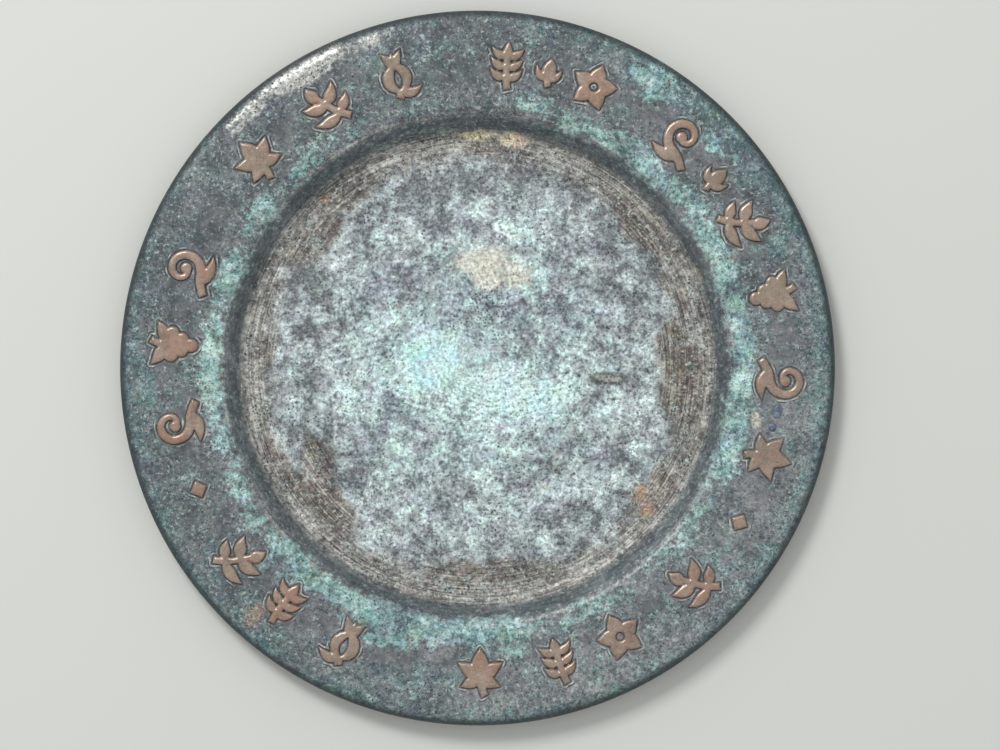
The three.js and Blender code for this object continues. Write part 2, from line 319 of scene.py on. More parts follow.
def patinated_copper():
    """Copper under old verdigris, brown where turning and handling wore the crust away.

    The crust is a matt mineral powder over dark oxide, so it gives the eye soft clouds of chalky green,
    peppered with black where it has flaked. The metal only gleams, dully, on the turned ring and the lip.
    """
    material, tree, place = new_material("patinated_copper")
    flat = add(tree, "ShaderNodeVectorMath", {0: place, 1: (1, 1, 0)}, operation="MULTIPLY")
    drift = add(
        tree,
        "ShaderNodeTexNoise",
        {"Vector": flat, "Scale": 1 / DRIFT_SIZE, "Detail": 6, "Roughness": 0.65},
    )
    drifts = add(tree, "ShaderNodeSeparateColor", {"Color": drift.outputs["Color"]})
    aside = add(tree, "ShaderNodeCombineXYZ", {"X": drifts.outputs["Red"], "Y": drifts.outputs["Green"]})
    wander = add(
        tree,
        "ShaderNodeVectorMath",
        {0: aside, 1: (DRIFT_REACH, DRIFT_REACH, 0), 2: (-DRIFT_REACH / 2, -DRIFT_REACH / 2, 0)},
        operation="MULTIPLY_ADD",
    )
    strayed = add(tree, "ShaderNodeVectorMath", {0: flat, 1: wander}, operation="ADD")
    nudge = add(tree, "ShaderNodeVectorMath", {0: wander, "Scale": 0.3}, operation="SCALE")
    near = add(tree, "ShaderNodeVectorMath", {0: flat, 1: nudge}, operation="ADD")
    radius = add(tree, "ShaderNodeVectorMath", {0: near}, operation="LENGTH")
    true_radius = add(tree, "ShaderNodeVectorMath", {0: flat}, operation="LENGTH")
    heading = add(tree, "ShaderNodeVectorMath", {0: flat}, operation="NORMALIZE")
    apart = add(tree, "ShaderNodeSeparateXYZ", {0: near})
    turned = add(
        tree, "ShaderNodeMath", {0: apart.outputs["Y"], 1: apart.outputs["X"]}, operation="ARCTAN2"
    )
    bearing = add(tree, "ShaderNodeMath", {0: turned, 1: 0.5 / math.pi, 2: 0.5}, operation="MULTIPLY_ADD")

    # Clouds, the finer clumps that the crust breaks off in, and two grains
    level = octaves(tree, place, CLOUDS)
    mottle = octaves(tree, place, MOTTLING)
    clumps = octaves(tree, place, CLUMPS)
    grain = add(
        tree,
        "ShaderNodeTexNoise",
        {"Vector": place, "Scale": 1 / GRAIN_SIZE, "Detail": 2, "Roughness": 0.9},
    )
    flakes = add(
        tree,
        "ShaderNodeTexNoise",
        {"Vector": place, "Scale": 1 / FLAKE_SIZE, "Detail": 3, "Roughness": 0.8},
    )
    flake = add(tree, "ShaderNodeSeparateColor", {"Color": flakes.outputs["Color"]})
    pits = add(
        tree, "ShaderNodeTexVoronoi", {"Vector": near, "Scale": 1 / PIT_SPACING}, voronoi_dimensions="2D"
    )

    # The floor, palest left of the middle, from slate grey to chalky aqua
    glow = spots(tree, strayed, FLOOR_BLOOMS)
    shade = spots(tree, strayed, FLOOR_SHADES)
    relief = add(tree, "ShaderNodeMath", {0: glow, 1: shade}, operation="SUBTRACT")
    lit = add(tree, "ShaderNodeMath", {0: relief, 1: 0.36, 2: level}, operation="MULTIPLY_ADD")
    dimmer = add(tree, "ShaderNodeMapRange", {"Value": radius, **FLOOR_FADE}, **SMOOTH)
    floor_level = add(tree, "ShaderNodeMath", {0: lit, 1: dimmer}, operation="ADD")
    colour = add(tree, "ShaderNodeValToRGB", {"Fac": floor_level}, FLOOR_TONES)

    # The turned ring at the floor's edge, with the concentric marks of the spinning tool
    lines = turning_marks(tree, true_radius, heading, TOOL_MARKS)
    calmer = add(tree, "ShaderNodeMath", {0: level, 1: 0.6, 2: 0.2}, operation="MULTIPLY_ADD")
    scored = add(tree, "ShaderNodeMath", {0: lines, 1: calmer}, operation="ADD")
    ring_tone = add(tree, "ShaderNodeValToRGB", {"Fac": scored}, RING_TONES)
    ring = add(tree, "ShaderNodeMapRange", {"Value": radius, **RING_FADE}, **SMOOTH)
    smears = spots(tree, strayed, BROWN_PLACES)
    worn = add(tree, "ShaderNodeMath", {0: ring, 1: smears}, operation="MAXIMUM")
    rubbed = broken(tree, worn, clumps, 0.9, 0.4)
    brown_tone = add(tree, "ShaderNodeValToRGB", {"Fac": scored}, BROWN_TONES)
    browned = broken(tree, smears, mottle, 1.2, 0.5, 0.9)
    scratch = turning_marks(tree, true_radius, heading, SCRATCHES)
    scratched = add(tree, "ShaderNodeMapRange", {"Value": scratch, **SCRATCH_CUT}, **SMOOTH)
    shown = add(tree, "ShaderNodeMath", {0: scratched, 1: rubbed}, operation="MULTIPLY")
    faint = add(tree, "ShaderNodeMath", {0: shown, 1: 0.6}, operation="MULTIPLY")
    ring_layers = [(ring_tone, rubbed), (brown_tone, browned), (solid(SCRATCH_GREY), faint)]
    colour = layered(tree, colour, ring_layers)

    # Wall, shoulder and rim
    wall_level = add(tree, "ShaderNodeMath", {0: lines, 1: 0.25, 2: calmer}, operation="MULTIPLY_ADD")
    wall_tone = add(tree, "ShaderNodeValToRGB", {"Fac": wall_level}, WALL_TONES)
    wall = band(tree, true_radius, *WALL_ZONE)
    colour = layered(tree, colour, [(wall_tone, wall)])
    # Painted light: the rim's tones are made paler towards the lower right
    painted_light_slant = add(tree, "ShaderNodeVectorMath", {0: near, 1: RIM_LIGHT_SLANT}, operation="DOT_PRODUCT")
    rim_level_with_light = add(tree, "ShaderNodeMath", {0: calmer, 1: painted_light_slant}, operation="ADD")
    rim_tone = add(tree, "ShaderNodeValToRGB", {"Fac": rim_level_with_light}, RIM_TONES)
    on_rim = add(tree, "ShaderNodeMapRange", {"Value": radius, **RIM_FADE}, **SMOOTH)
    bare_tone = add(tree, "ShaderNodeValToRGB", {"Fac": rim_level_with_light}, BARE_TONES)
    bare = broken(tree, band(tree, radius, *BARE_ZONE, 0.55), mottle, 1.2, 0.4)
    colour = layered(tree, colour, [(rim_tone, on_rim), (bare_tone, bare)])
    teal_tone = add(tree, "ShaderNodeValToRGB", {"Fac": rim_level_with_light}, TEAL_TONES)
    rim_edge = band(tree, radius, *RIM_EDGE_ZONE)
    edge_teal = add(tree, "ShaderNodeValToRGB", {"Fac": bearing}, EDGE_TEAL)
    teal_share = add(tree, "ShaderNodeRGBToBW", {"Color": edge_teal})
    edge = add(tree, "ShaderNodeMath", {0: rim_edge, 1: teal_share}, operation="MULTIPLY")
    teal_spots = spots(tree, strayed, TEAL_BLOTS)
    blots = add(tree, "ShaderNodeMath", {0: edge, 1: teal_spots}, operation="MAXIMUM")
    thin = add(tree, "ShaderNodeMath", {0: on_rim, 1: 0.3}, operation="MULTIPLY")
    blots = add(tree, "ShaderNodeMath", {0: blots, 1: thin}, operation="MAXIMUM")
    teal = broken(tree, blots, clumps, 1.4, 0.35, 0.9)
    colour = layered(tree, colour, [(teal_tone, teal)])
    aqua_tone = add(tree, "ShaderNodeValToRGB", {"Fac": level}, AQUA_TONES)
    inner_aqua = add(tree, "ShaderNodeValToRGB", {"Fac": bearing}, INNER_AQUA)
    shoulder = band(tree, radius, *SHOULDER_ZONE)
    aqua_share = add(tree, "ShaderNodeRGBToBW", {"Color": inner_aqua})
    inner = add(tree, "ShaderNodeMath", {0: shoulder, 1: aqua_share}, operation="MULTIPLY")
    aqua_spots = spots(tree, strayed, AQUA_BLOTS)
    blooms = add(tree, "ShaderNodeMath", {0: inner, 1: aqua_spots}, operation="MAXIMUM")
    aqua = broken(tree, blooms, clumps, 1.4, 0.25, 0.85)
    colour = layered(tree, colour, [(aqua_tone, aqua)])
    # Painted shade: the roll of the lip, turning down and away, is painted near black
    rolled_edge_shade = add(tree, "ShaderNodeMapRange", {"Value": true_radius, **ROLL_SHADE_FADE}, **SMOOTH)
    # Crust worn to bright metal at the upper left of the lip; its pale grey also paints the lamp's highlight
    # there
    worn_metal_and_highlight = broken(tree, spots(tree, near, WORN_METAL_AND_HIGHLIGHT_PLACES), clumps, 1.3, 0.3)
    # Painted highlight: a thin pale line along the shoulder at the lower right, where the lamp's reflection
    # lies
    shoulder_highlight_by_bearing = add(tree, "ShaderNodeValToRGB", {"Fac": bearing}, SHOULDER_HIGHLIGHT_BEARINGS)
    shoulder_highlight_share = add(tree, "ShaderNodeRGBToBW", {"Color": shoulder_highlight_by_bearing})
    shoulder_highlight_line = band(tree, true_radius, *SHOULDER_HIGHLIGHT_ZONE, 0.8)
    shoulder_highlight = add(tree, "ShaderNodeMath", {0: shoulder_highlight_line, 1: shoulder_highlight_share}, operation="MULTIPLY")
    # Worn metal and painted highlights laid over the crust
    worn_metal_and_highlights = [(solid(WORN_METAL_AND_HIGHLIGHT_GREY), worn_metal_and_highlight), (solid(SHOULDER_HIGHLIGHT_GREY), shoulder_highlight)]
    colour = layered(tree, colour, worn_metal_and_highlights)

    # Clean metal round each ornament, pale flux on the solder, and the dark crevice and seam beside it: dirt
    # in the joint, darkened further as a painted contact shadow
    halo = add(tree, "ShaderNodeAttribute", attribute_name="halo").outputs["Fac"]
    solder = add(tree, "ShaderNodeAttribute", attribute_name="solder").outputs["Fac"]
    cleaned = broken(tree, halo, mottle, 1.0, 0.4)
    crevice = add(tree, "ShaderNodeMapRange", {"Value": halo, **CREVICE_AND_SHADE_CUT}, **SMOOTH)
    joint = [(bare_tone, cleaned), (solid(FLUX_PALE), solder), (solid(CREVICE_DIRT_AND_SHADE), crevice)]
    colour = layered(tree, colour, joint)

    # Where nothing powdery lies, the surface is smooth
    crusted = add(tree, "ShaderNodeMath", {0: teal, 1: aqua}, operation="MAXIMUM")
    open_metal = add(tree, "ShaderNodeMath", {0: bare, 1: crusted}, operation="SUBTRACT")
    quiet = add(tree, "ShaderNodeMath", {0: open_metal, 1: cleaned}, operation="MAXIMUM")
    smooth_wall = add(tree, "ShaderNodeMath", {0: wall, 1: 0.75}, operation="MULTIPLY")
    quiet = add(tree, "ShaderNodeMath", {0: quiet, 1: smooth_wall}, operation="MAXIMUM")
    smooth_spots = spots(tree, near, CALM_PLACES)
    quiet = add(tree, "ShaderNodeMath", {0: quiet, 1: smooth_spots}, operation="MAXIMUM")
    calm = add(tree, "ShaderNodeMath", {0: on_rim, 1: 0.2, 2: quiet}, operation="MULTIPLY_ADD")
    lively = add(tree, "ShaderNodeMath", {0: calm, 1: -0.65, 2: 0.95}, operation="MULTIPLY_ADD")
    lively = add(tree, "ShaderNodeMath", {0: lively, 1: worn_metal_and_highlight}, operation="MAXIMUM")

    # Single stains and scars
    for tint, patches, bite in STAINS:
        reach = spots(tree, near, patches)
        eaten = broken(tree, reach, clumps, bite, 0.5, 0.9)
        stain = add(tree, "ShaderNodeMath", {0: eaten, 1: reach}, operation="MULTIPLY")
        colour = layered(tree, colour, [(solid(tint), stain)])

    # Clouds differ a little in hue and strength, and lose their colour away from the middle
    tints = add(
        tree,
        "ShaderNodeTexNoise",
        {"Vector": place, "Scale": 1 / TINT_SIZE, "Detail": 4, "Roughness": 0.6},
    )
    tint = add(tree, "ShaderNodeSeparateColor", {"Color": tints.outputs["Color"]})
    hue = add(tree, "ShaderNodeMath", {0: tint.outputs["Red"], 1: 0.32, 2: 0.34}, operation="MULTIPLY_ADD")
    fullest = add(tree, "ShaderNodeMapRange", {"Value": radius, **COLOUR_FADE}, **SMOOTH)
    strength = add(
        tree, "ShaderNodeMath", {0: tint.outputs["Green"], 1: fullest, 2: 0.2}, operation="MULTIPLY_ADD"
    )
    glint = add(tree, "ShaderNodeMath", {0: grain, 1: 3.8, 2: -1.9}, operation="MULTIPLY_ADD")
    shine = add(tree, "ShaderNodeMath", {0: glint, 1: lively, 2: 1.0}, operation="MULTIPLY_ADD")
    colour = add(
        tree,
        "ShaderNodeHueSaturation",
        {"Color": colour, "Hue": hue, "Saturation": strength, "Value": shine},
    )

    # Salt and pepper: pale crystals, black oxide where the crust has flaked, and pits. Over them, painted
    # shade darkens the roll at the edge.
    coarse = add(tree, "ShaderNodeMath", {0: rubbed, 1: aqua}, operation="MAXIMUM")
    plain = add(tree, "ShaderNodeMath", {0: on_rim, 1: -0.15, 2: 0.4}, operation="MULTIPLY_ADD")
    likely = add(tree, "ShaderNodeMath", {0: coarse, 1: 0.45, 2: plain}, operation="MULTIPLY_ADD")
    most = add(tree, "ShaderNodeMath", {0: likely, 1: lively}, operation="MULTIPLY")
    crystals = add(
        tree,
        "ShaderNodeMapRange",
        {"Value": flake.outputs["Green"], **CRYSTAL_CUT, "To Max": most},
        **SMOOTH,
    )
    flaking = add(
        tree, "ShaderNodeMath", {0: level, 1: -0.2, 2: flake.outputs["Red"]}, operation="MULTIPLY_ADD"
    )
    worst = add(tree, "ShaderNodeMath", {0: lively, 1: 0.6}, operation="MULTIPLY")
    flaked = add(tree, "ShaderNodeMapRange", {"Value": flaking, **FLAKE_CUT, "To Max": worst}, **SMOOTH)
    lot = add(tree, "ShaderNodeRGBToBW", {"Color": pits.outputs["Color"]})
    chance = add(tree, "ShaderNodeMath", {0: clumps, 1: 0.9, 2: lot}, operation="MULTIPLY_ADD")
    pitted = spots(tree, near, PITTED_PLACES)
    chance = add(tree, "ShaderNodeMath", {0: chance, 1: pitted}, operation="ADD")
    there = add(tree, "ShaderNodeMapRange", {"Value": chance, **CHANCE_CUT, "To Max": lively}, **SMOOTH)
    pit = add(
        tree,
        "ShaderNodeMapRange",
        {"Value": pits.outputs["Distance"], **PIT_SHAPE, "To Min": there},
        **SMOOTH,
    )
    specks = [(solid(CRYSTAL_PALE), crystals), (solid(OXIDE_DARK), flaked), (solid(PIT_BLACK), pit)]
    colour = layered(tree, colour, [*specks, (solid(ROLL_SHADE_DARK), rolled_edge_shade)])

    lip = band(tree, true_radius, *LIP_ZONE, 0.25)
    dull = add(tree, "ShaderNodeMath", {0: rubbed, 1: 0.4}, operation="MULTIPLY")
    bright = add(tree, "ShaderNodeMath", {0: dull, 1: lip}, operation="MAXIMUM")
    bright = add(tree, "ShaderNodeMath", {0: bright, 1: worn_metal_and_highlight}, operation="MAXIMUM")
    gloss = add(tree, "ShaderNodeMath", {0: bright, 1: -0.3, 2: 0.75}, operation="MULTIPLY_ADD")
    metal = add(tree, "ShaderNodeMath", {0: bright, 1: 0.7}, operation="MULTIPLY")
    height = add(tree, "ShaderNodeMath", {0: flaked, 1: -0.7, 2: level}, operation="MULTIPLY_ADD")
    height = add(tree, "ShaderNodeMath", {0: grain, 1: 0.8, 2: height}, operation="MULTIPLY_ADD")
    normal = add(tree, "ShaderNodeBump", {"Height": height, "Distance": CRUST_RELIEF, "Strength": lively})
    finish(tree, colour, metal, gloss, normal)
    return material


def turning_marks(tree, radius, heading, layers):
    """Rings scored by the spinning tool. A layer has its width in mm, its arcs per turn and its weight."""
    marks = -sum(weight for _, _, weight in layers) / 2
    for width, arcs, weight in layers:
        around = add(tree, "ShaderNodeVectorMath", {0: heading, "Scale": arcs}, operation="SCALE")
        across = add(tree, "ShaderNodeMath", {0: radius, 1: 1 / width}, operation="MULTIPLY")
        stretched = add(tree, "ShaderNodeCombineXYZ", {"Z": across})
        polar = add(tree, "ShaderNodeVectorMath", {0: around, 1: stretched}, operation="ADD")
        lines = add(tree, "ShaderNodeTexNoise", {"Vector": polar, "Scale": 1.0, "Detail": 1.5})
        marks = add(tree, "ShaderNodeMath", {0: lines, 1: weight, 2: marks}, operation="MULTIPLY_ADD")
    return marks


def finish(tree, colour, metal, gloss, normal):
    """Closes a material with a Principled shader."""
    shader = add(
        tree,
        "ShaderNodeBsdfPrincipled",
        {"Base Color": colour, "Metallic": metal, "Roughness": gloss, "Normal": normal},
    )
    add(tree, "ShaderNodeOutputMaterial", {"Surface": shader})


# Layers of the patina's noises: size in mm, detail, weight
CLOUDS = [(44, 1, 0.5), (13, 3, 1.3), (4, 3, 1.35)]
MOTTLING = [(14, 3, 0.9), (3.4, 3, 1.3)]
CLUMPS = [(15, 2, 1.2), (2.4, 4, 1.5)]

# Marks left by spinning and by scouring: width in mm, arcs per turn, weight
TOOL_MARKS = [(1.2, 5.0, 0.6), (0.6, 3.0, 1.4)]
SCRATCHES = [(0.34, 2.2, 1.0)]

# Sizes of the other patterns in mm: how outlines drift and how far, then grain, flakes, pits and tints
DRIFT_SIZE = 17
DRIFT_REACH = 18
GRAIN_SIZE = 1.7
FLAKE_SIZE = 1.6
PIT_SPACING = 1.5
TINT_SIZE = 9
CRUST_RELIEF = 0.06 * MM

# Zones of the dish by radius in mm: middle, half width and softness of the edge
WALL_ZONE = (98.5, 3.1, 1.8)
# The painted highlight along the shoulder
SHOULDER_HIGHLIGHT_ZONE = (102.4, 0.4, 0.8)
SHOULDER_ZONE = (105.8, 4.6, 3.6)
BARE_ZONE = (121, 8, 6)
LIP_ZONE = (138.4, 2.0, 1.6)
RIM_EDGE_ZONE = (142, 8, 7)

# What changes between two radii in mm: the floor's tone, its colour, the ring, the rim and the painted shade
# on the roll at the edge
FLOOR_FADE = {"From Min": 30, "From Max": 88, "To Min": -0.02, "To Max": -0.19}
COLOUR_FADE = {"From Min": 15, "From Max": 90, "To Min": 1.9, "To Max": 1.1}
RING_FADE = {"From Min": 76, "From Max": 92, "To Max": 0.9}
RIM_FADE = {"From Min": 100.8, "From Max": 103.6}
ROLL_SHADE_FADE = {"From Min": 138.8, "From Max": 142.0, "To Max": 0.85}

# Where a noise or an attribute begins to show, and where it shows in full. A pit's own two are its radii, as
# shares of the pits' spacing.
SCRATCH_CUT = {"From Min": 0.11, "From Max": 0.25}
# The crevice's cut places dirt with a painted contact shadow
CREVICE_AND_SHADE_CUT = {"From Min": 0.76, "From Max": 0.92, "To Max": 0.85}
CRYSTAL_CUT = {"From Min": 0.56, "From Max": 0.65}
FLAKE_CUT = {"From Min": 0.42, "From Max": 0.54}
CHANCE_CUT = {"From Min": 1.16, "From Max": 1.36}
PIT_SHAPE = {"From Min": 0.1, "From Max": 0.36, "To Max": 0.0}

# Painted light: the rim is painted paler towards its lower right, as if lit more there: by how much per mm
# along x and y
RIM_LIGHT_SLANT = (0.0005, -0.0008, 0)

# Single colours on the dish
SCRATCH_GREY = "#dcdcd6"
# Pale worn metal, also a painted highlight at the upper left of the lip
WORN_METAL_AND_HIGHLIGHT_GREY = "#b0b1ab"
# A painted highlight on the shoulder
SHOULDER_HIGHLIGHT_GREY = "#b4c4c3"
# Painted shade on the roll of the lip
ROLL_SHADE_DARK = "#263135"
FLUX_PALE = "#c8d2c8"
# Dirt in the crevice round each ornament, also a painted contact shadow
CREVICE_DIRT_AND_SHADE = "#25272a"
CRYSTAL_PALE = "#cfdcd6"
OXIDE_DARK = "#39434a"
PIT_BLACK = "#262c30"

# Where the patina's forms lie on the plate: x, y, half length, half width in mm, turn, strength
FLOOR_BLOOMS = [
    (-18, -3, 26, 16, 0, 1.0),
    (10, -8, 34, 18, -10, 0.7),
    (-70, 0, 10, 26, 0, 0.2),
    (-45, -12, 18, 14, 0, 0.5),
    (16, 58, 12, 8, 0, 0.7),
    (-40, -58, 16, 14, 0, 0.35),
    (-6, -62, 26, 12, 0, 0.35),
    (45, -42, 18, 14, 0, 0.4),
]
FLOOR_SHADES = [
    (15, 24, 24, 10, 10, 0.5),
    (50, 40, 18, 24, 30, 0.3),
    (-28, 34, 26, 16, 20, 0.6),
    (34, -32, 22, 16, 0, 0.6),
    (-48, -32, 16, 12, 0, 0.2),
    (0, 76, 40, 10, 0, 0.6),
    (70, 10, 12, 30, 0, 0.15),
    (-64, 28, 14, 26, 0, 0.5),
]
BROWN_PLACES = [
    (82, -4, 34, 12, 97, 1.0),
    (66, 58, 26, 9, -47, 0.9),
    (-62, -54, 24, 10, -42, 1.0),
    (-64, -36, 16, 8, -60, 0.8),
    (6, -82, 40, 7, 0, 0.8),
    (-52, 70, 20, 8, 35, 0.7),
    (-64, 54, 24, 9, 48, 0.7),
    (70, -50, 16, 9, 60, 0.9),
    (-84, 10, 24, 6, 88, 0.6),
    (0, 88, 30, 5, 0, 0.6),
    (-80, -36, 26, 6, -66, 0.6),
    (78, 34, 20, 6, 114, 0.6),
]
TEAL_BLOTS = [
    (71, 113, 22, 14, -30, 0.95),
    (99, 91, 14, 9, -40, 0.8),
    (109, 77, 12, 9, -50, 0.8),
    (125, 67, 12, 8, -60, 0.8),
    (121, 48, 9, 6, -60, 0.8),
    (-134, -5, 18, 8, 90, 0.85),
    (135, -11, 16, 7, 90, 0.85),
    (100, -75, 26, 12, -130, 0.55),
    (-20, -122, 40, 9, 0, 0.55),
    (-100, -80, 26, 10, -50, 0.6),
    (-30, 125, 30, 10, 10, 0.5),
]
AQUA_BLOTS = [
    (70, 112, 15, 8, -35, 1.0),
    (97, 88, 12, 5, -45, 0.75),
    (-87, 66, 9, 5, 40, 0.7),
    (-99, 43, 7, 4, 60, 0.7),
    (-71, 79, 7, 3.5, 40, 0.7),
    (-57, 89, 6, 3, 30, 0.6),
    (-40, -104, 22, 8, -20, 0.95),
    (66, 84, 14, 7, -45, 0.9),
    (-88, -76, 12, 6, -45, 0.6),
    (10, -112, 14, 6, 0, 0.7),
]
# Worn bright metal at the upper left of the lip, its pale colour also a painted highlight
WORN_METAL_AND_HIGHLIGHT_PLACES = [(-67, 119, 26, 7, 30, 1.0), (-44, 130, 14, 4.5, 18, 0.7), (-93, 100, 16, 4.5, 44, 0.75)]
PITTED_PLACES = [(5, 24, 10, 11, 15, 0.5), (-45, 60, 6, 4, 20, 0.6), (18, -16, 30, 20, -10, 0.07)]
CALM_PLACES = [
    (2, 43, 15, 9, 8, 0.55),
    (14, 38, 12, 9, -5, 0.4),
    (-18, 3, 16, 17, 20, 0.5),
    (14, -10, 28, 14, -15, 0.35),
]
# Stains: their colour, where they lie, and how raggedly the crust breaks at their edges
STAINS = [
    # Chalky blue-green blooms left of the middle and right of it
    ("#cff0ef", [(-18, 3, 18, 19, 20, 1.0), (26, -14, 10, 14, 0, 0.7)], 0.9),
    # White blooms under the middle
    ("#d9f2ee", [(12, -8, 28, 12, -15, 0.8), (-8, -32, 22, 10, 0, 0.55)], 1.0),
    # Lavender clouds
    ("#8c90a4", [(38, 24, 26, 18, 30, 0.5), (-40, -28, 24, 12, 20, 0.4), (-34, 36, 22, 12, 0, 0.4)], 1.0),
    # A cream crust above the middle
    ("#dbd9c9", [(2, 43, 17, 9, 8, 1.0), (14, 38, 11, 9, -5, 0.85), (4, 36, 10, 7, 0, 1.0)], 0.9),
    # Mauve clouds
    ("#8d8995", [(15, 22, 14, 8, 20, 0.4), (60, -10, 13, 5, 0, 0.5)], 0.9),
    # Plum-grey tarnish on the right of the rim
    (
        "#6c6878",
        [(122, -58, 30, 12, -64, 0.4), (94, -98, 30, 12, -44, 0.5), (128, 30, 22, 9, 100, 0.45)],
        0.8,
    ),
    # The black bed of the ochre scab, and a speck
    ("#2d2c2b", [(14.5, 91, 12, 5.4, -6, 0.7), (-39.8, -17, 1.6, 1.4, 0, 1)], 0.8),
    # The torn edge of a gouge, and two specks beside it
    (
        "#222323",
        [(53.4, -4, 13.5, 4.4, -3, 1), (35.8, -2, 1.3, 1.2, 0, 1), (40.2, -2.8, 1.6, 1.2, 0, 1)],
        0.5,
    ),
    # Bare metal in the gouge
    ("#a3a59e", [(53.6, -3.9, 10, 2.1, -3, 1.0)], 0.4),
    # Ochre scabs at the top and the right of the ring
    (
        "#e2cf9c",
        [(14.5, 91, 9.5, 4.2, -6, 1.0), (88.4, 38, 5, 1.6, 113, 0.6), (0, 93.6, 12, 2.4, 0, 1.0)],
        0.5,
    ),
    # A rust-brown rub at the lower left of the rim
    ("#ad8864", [(-89, -99, 8, 5, 65, 0.75)], 0.9),
    # Ochre specks on the ring
    (
        "#b3925f",
        [
            (-62, 68.4, 2.6, 2.4, 0, 1),
            (65, -50, 6, 4, 80, 1.0),
            (68.5, -57, 5, 4, 60, 0.9),
            (27, -47, 4, 2, 0, 0.6),
        ],
        0.7,
    ),
    # A pale streak near the bottom: a painted highlight on the cove
    ("#cdcabd", [(31, -87.5, 12, 0.8, 20, 0.9)], 0.6),
    # A pale rub beside the drops of solder
    ("#c8c8ba", [(111, -21, 5, 2.8, 90, 1.0)], 0.6),
]

# Tones from the darkest cloud to the palest
FLOOR_TONES = [(0.1, "#757b80"), (0.95, "#e0faf6"), (0.3, "#9ca9ad"), (0.5, "#bbccce"), (0.7, "#cfe8e7")]
RING_TONES = [(0.1, "#5b554e"), (0.95, "#d2d1c8"), (0.35, "#848078"), (0.6, "#a19e96")]
BROWN_TONES = [(0.1, "#403832"), (0.95, "#b8ae9c"), (0.35, "#62574d"), (0.6, "#84796b")]
WALL_TONES = [(0.1, "#3d454c"), (0.95, "#97a0a0"), (0.5, "#5f6a6f")]
RIM_TONES = [(0.1, "#4a5154"), (0.95, "#a3a7a7"), (0.45, "#677074"), (0.7, "#7e8587")]
TEAL_TONES = [(0.1, "#334f54"), (0.95, "#90b6b2"), (0.5, "#55797e")]
AQUA_TONES = [(0.1, "#4f767b"), (0.95, "#c6f1ea"), (0.5, "#82b8b4")]
BARE_TONES = [(0.2, "#484a50"), (0.9, "#9a9c9f"), (0.5, "#6a6d71")]

# Strength by bearing, from due west round by south, east and north: of verdigris inside the shoulder, of the
# painted highlight on the shoulder, and of teal at the rim's edge
INNER_AQUA = [(0.0, 0.75), (1.0, 0.75), (0.07, 0.5), (0.12, 0.8), (0.2, 1.0), (0.26, 0.9), (0.3, 0.45)]
INNER_AQUA += [(0.4, 0.5), (0.45, 0.8), (0.52, 0.95), (0.58, 0.7), (0.66, 0.85), (0.7, 0.5), (0.77, 0.15)]
INNER_AQUA += [(0.88, 0.35), (0.94, 0.6)]
SHOULDER_HIGHLIGHT_BEARINGS = [(0.0, 0.0), (1.0, 0.0), (0.22, 0.0), (0.27, 0.7), (0.38, 0.95), (0.45, 0.0)]
EDGE_TEAL = [(0.0, 0.75), (1.0, 0.75), (0.3, 0.55), (0.5, 0.85), (0.65, 0.85), (0.78, 0.35), (0.88, 0.25)]


UNDERSIDE_TONES = [(0.2, "#3a3431"), (0.85, "#7fa39c"), (0.5, "#5f5148"), (0.68, "#6d6a62")]


def underside_copper():
    """The back of the spun sheet: bare copper gone brown with age, with verdigris in thin clouds."""
    material, tree, place = new_material("underside_copper")
    level = octaves(tree, place, [(40, 2, 1.1), (9, 3, 1.0), (1.2, 2, 1.0)])
    colour = add(tree, "ShaderNodeValToRGB", {"Fac": level}, UNDERSIDE_TONES)
    normal = add(tree, "ShaderNodeBump", {"Height": level, "Distance": 0.1 * MM, "Strength": 0.6})
    finish(tree, colour, 0.4, 0.55, normal)
    return material


# Rubbed copper: its tones from dark to pale, then its warm, dull and oxidised parts and where they show
COPPER_TONES = [(0.15, "#7b7067"), (0.9, "#c2b0a3"), (0.5, "#a49183")]
WARM_PINK = "#a67c66"
DULL_OLIVE = "#8f8672"
OXIDE_BROWN = "#5a4840"
WARM_CUT = {"From Min": 0.35, "To Max": 0.6}
DULL_CUT = {"From Min": 0.15, "From Max": 0.5, "To Min": 0.5, "To Max": 0.0}
OXIDE_EDGE = {"From Min": 0.0, "From Max": 0.25, "To Min": 0.8, "To Max": 0.0}


def rubbed_copper():
    """Sawn copper sheet, its face rubbed clean and gone pink-brown, dark with oxide at the edges."""
    material, tree, place = new_material("rubbed_copper")
    level = octaves(tree, place, [(9, 2, 0.9), (1.8, 3, 0.7), (0.7, 1, 0.8)])
    tone = add(tree, "ShaderNodeValToRGB", {"Fac": level}, COPPER_TONES)
    glow = octaves(tree, place, [(30, 1, 1.6), (6, 2, 1.0)])
    warmth = add(tree, "ShaderNodeMapRange", {"Value": glow, **WARM_CUT}, **SMOOTH)
    inset = add(tree, "ShaderNodeAttribute", attribute_name="inset").outputs["Fac"]
    edge = add(tree, "ShaderNodeMapRange", {"Value": inset, **OXIDE_EDGE}, **SMOOTH)
    dulled = add(tree, "ShaderNodeMapRange", {"Value": glow, **DULL_CUT}, **SMOOTH)
    hues = [(solid(WARM_PINK), warmth), (solid(DULL_OLIVE), dulled), (solid(OXIDE_BROWN), edge)]
    colour = layered(tree, tone, hues)
    normal = add(tree, "ShaderNodeBump", {"Height": level, "Distance": 0.05 * MM, "Strength": 0.5})
    finish(tree, colour, 0.45, 0.33, normal)
    return material


SOLDER_TONES = [(0.2, "#454d5a"), (0.9, "#98a3b2"), (0.5, "#626d80")]


